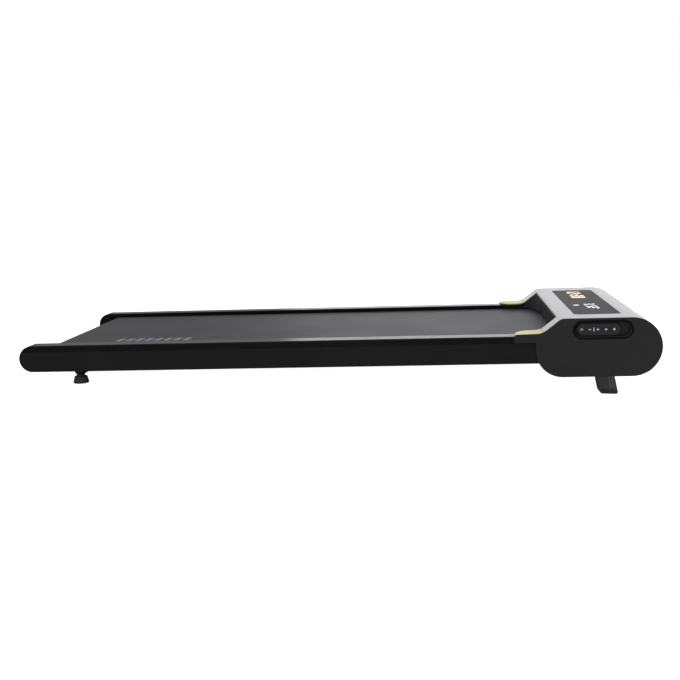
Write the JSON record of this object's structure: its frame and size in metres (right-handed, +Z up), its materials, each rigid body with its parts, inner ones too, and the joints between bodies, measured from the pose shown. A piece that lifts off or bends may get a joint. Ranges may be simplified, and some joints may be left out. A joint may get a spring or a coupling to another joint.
{
  "type": "under-desk treadmill",
  "caption": "Low walking treadmill with a bridge-shaped head over the belt, folding front legs, levelling rear feet and a docked remote.",
  "frame": {"origin": "on the floor, under the middle of the machine's length and width", "axes": "+X towards the head that the walker faces, +Y to the walker's left, +Z up; the deck rises 2.2 degrees towards +X"},
  "size_m": [1.239, 0.528, 0.1528],
  "materials": {
    "frame_steel": "satin powder coat",
    "rail_plastic": "fine grained moulding",
    "cover_plastic": "fine grained moulding",
    "tray_plastic": "fine grained moulding",
    "silver_shell": "satin metallic paint",
    "accent_lime": "satin",
    "belt_pvc": "fine diamond texture",
    "deck_panel": "waxed black laminate",
    "soft_rubber": "matte",
    "roller_steel": "ground",
    "zinc_steel": "zinc plated",
    "motor_paint": "semi gloss",
    "pulley_aluminium": "turned",
    "circuit_board": "solder mask",
    "lens_gloss": "polished smoked acrylic",
    "black_plastic": "smooth",
    "key_plastic": "smooth",
    "wheel_plastic": "smooth"
  },
  "bodies": {
    "root": {"cross_members": "frame_steel", "motor_pan": "frame_steel", "leg_brackets": "frame_steel", "side_frame_left": "frame_steel", "side_frame_right": "frame_steel", "side_rail_left": "rail_plastic", "side_rail_right": "rail_plastic", "rear_end_cap_left": "rail_plastic", "rear_end_cap_right": "rail_plastic", "head_side_cover_left": "cover_plastic", "head_side_cover_right": "cover_plastic", "head_bottom_tray": "tray_plastic", "belt_entry_guard": "tray_plastic", "power_panel": "tray_plastic", "head_top_shell": "silver_shell", "accent_strip_left": "accent_lime", "accent_strip_right": "accent_lime", "walking_belt": "belt_pvc", "deck_board": "deck_panel", "deck_cushions": "soft_rubber", "drive_belt": "soft_rubber", "leg_pins": "zinc_steel", "wheel_axles": "zinc_steel", "belt_tension_bolts": "zinc_steel", "rear_roller_axle": "zinc_steel", "front_roller_axle": "zinc_steel", "cover_screws": "zinc_steel", "motor_body": "motor_paint", "display_board": "circuit_board", "control_board": "circuit_board", "display_lens": "lens_gloss", "power_inlet": "black_plastic", "switch_housings": "black_plastic", "remote_pocket": "black_plastic"},
    "front_roller": {"front_roller": "roller_steel", "front_roller_bearings": "roller_steel", "roller_pulley": "pulley_aluminium"},
    "rear_roller": {"rear_roller": "roller_steel", "rear_roller_bearings": "roller_steel"},
    "motor_rotor": {"motor_rotor": "zinc_steel", "flywheel": "motor_paint", "motor_pulley": "pulley_aluminium"},
    "transport_wheel_left": {"transport_wheel_left": "wheel_plastic"},
    "transport_wheel_right": {"transport_wheel_right": "wheel_plastic"},
    "incline_leg_left": {"incline_leg_left": "frame_steel", "leg_foot_pad_left": "soft_rubber"},
    "incline_leg_right": {"incline_leg_right": "frame_steel", "leg_foot_pad_right": "soft_rubber"},
    "levelling_foot_left": {"levelling_foot_left": "soft_rubber"},
    "levelling_foot_right": {"levelling_foot_right": "soft_rubber"},
    "remote": {"remote_front_shell": "black_plastic", "remote_back_shell": "black_plastic", "remote_board": "circuit_board"},
    "power_rocker": {"power_rocker": "black_plastic"},
    "reset_button": {"reset_button": "black_plastic"},
    "key_1": {"remote_key_1": "key_plastic"},
    "key_2": {"remote_key_2": "key_plastic"},
    "key_3": {"remote_key_3": "key_plastic"},
    "key_4": {"remote_key_4": "key_plastic"},
    "key_5": {"remote_key_5": "key_plastic"}
  },
  "joints": [
    {"name": "front_roller_spin", "type": "hinge", "parent": "root", "child": "front_roller", "pos_m": [0.46476, 0, 0.0891], "axis": [0, 1, 0], "continuous": true},
    {"name": "rear_roller_spin", "type": "hinge", "parent": "root", "child": "rear_roller", "pos_m": [-0.56448, 0, 0.04956], "axis": [0, 1, 0], "continuous": true},
    {"name": "motor_spin", "type": "hinge", "parent": "root", "child": "motor_rotor", "pos_m": [0.5458, 0, 0.08951], "axis": [0, 1, 0], "continuous": true},
    {"name": "wheel_spin_left", "type": "hinge", "parent": "root", "child": "transport_wheel_left", "pos_m": [0.58498, 0.244, 0.0725], "axis": [0, 1, 0], "continuous": true},
    {"name": "leg_fold_left", "type": "hinge", "parent": "root", "child": "incline_leg_left", "pos_m": [0.51872, 0.212, 0.05204], "axis": [0, 1, 0], "range_deg": [0, 101.5]},
    {"name": "foot_level_left", "type": "slide", "parent": "root", "child": "levelling_foot_left", "axis": [0.0384, 0, -0.9993], "range_m": [0, 0.01]},
    {"name": "wheel_spin_right", "type": "hinge", "parent": "root", "child": "transport_wheel_right", "pos_m": [0.58498, -0.244, 0.0725], "axis": [0, 1, 0], "continuous": true},
    {"name": "leg_fold_right", "type": "hinge", "parent": "root", "child": "incline_leg_right", "pos_m": [0.51872, -0.212, 0.05204], "axis": [0, 1, 0], "range_deg": [0, 101.5]},
    {"name": "foot_level_right", "type": "slide", "parent": "root", "child": "levelling_foot_right", "axis": [0.0384, 0, -0.9993], "range_m": [0, 0.01]},
    {"name": "remote_dock", "type": "slide", "parent": "root", "child": "remote", "axis": [0, -1, 0], "range_m": [0, 0.06]},
    {"name": "key_press_1", "type": "slide", "parent": "remote", "child": "key_1", "axis": [0, 1, 0], "range_m": [0, 0.0008], "stiffness_N_per_m": 500},
    {"name": "key_press_2", "type": "slide", "parent": "remote", "child": "key_2", "axis": [0, 1, 0], "range_m": [0, 0.0008], "stiffness_N_per_m": 500},
    {"name": "key_press_3", "type": "slide", "parent": "remote", "child": "key_3", "axis": [0, 1, 0], "range_m": [0, 0.0008], "stiffness_N_per_m": 500},
    {"name": "key_press_4", "type": "slide", "parent": "remote", "child": "key_4", "axis": [0, 1, 0], "range_m": [0, 0.0008], "stiffness_N_per_m": 500},
    {"name": "key_press_5", "type": "slide", "parent": "remote", "child": "key_5", "axis": [0, 1, 0], "range_m": [0, 0.0008], "stiffness_N_per_m": 500},
    {"name": "power_switch", "type": "hinge", "parent": "root", "child": "power_rocker", "pos_m": [0.59688, -0.117, 0.08847], "axis": [0, 1, 0], "range_deg": [0, 14]},
    {"name": "breaker_reset", "type": "slide", "parent": "root", "child": "reset_button", "axis": [-0.9993, 0, -0.0384], "range_m": [0, 0.003], "stiffness_N_per_m": 500}
  ],
  "couplings": [
    {"joint": "rear_roller_spin", "follows": "front_roller_spin", "ratio": 1},
    {"joint": "motor_spin", "follows": "front_roller_spin", "ratio": 3.1111}
  ]
}
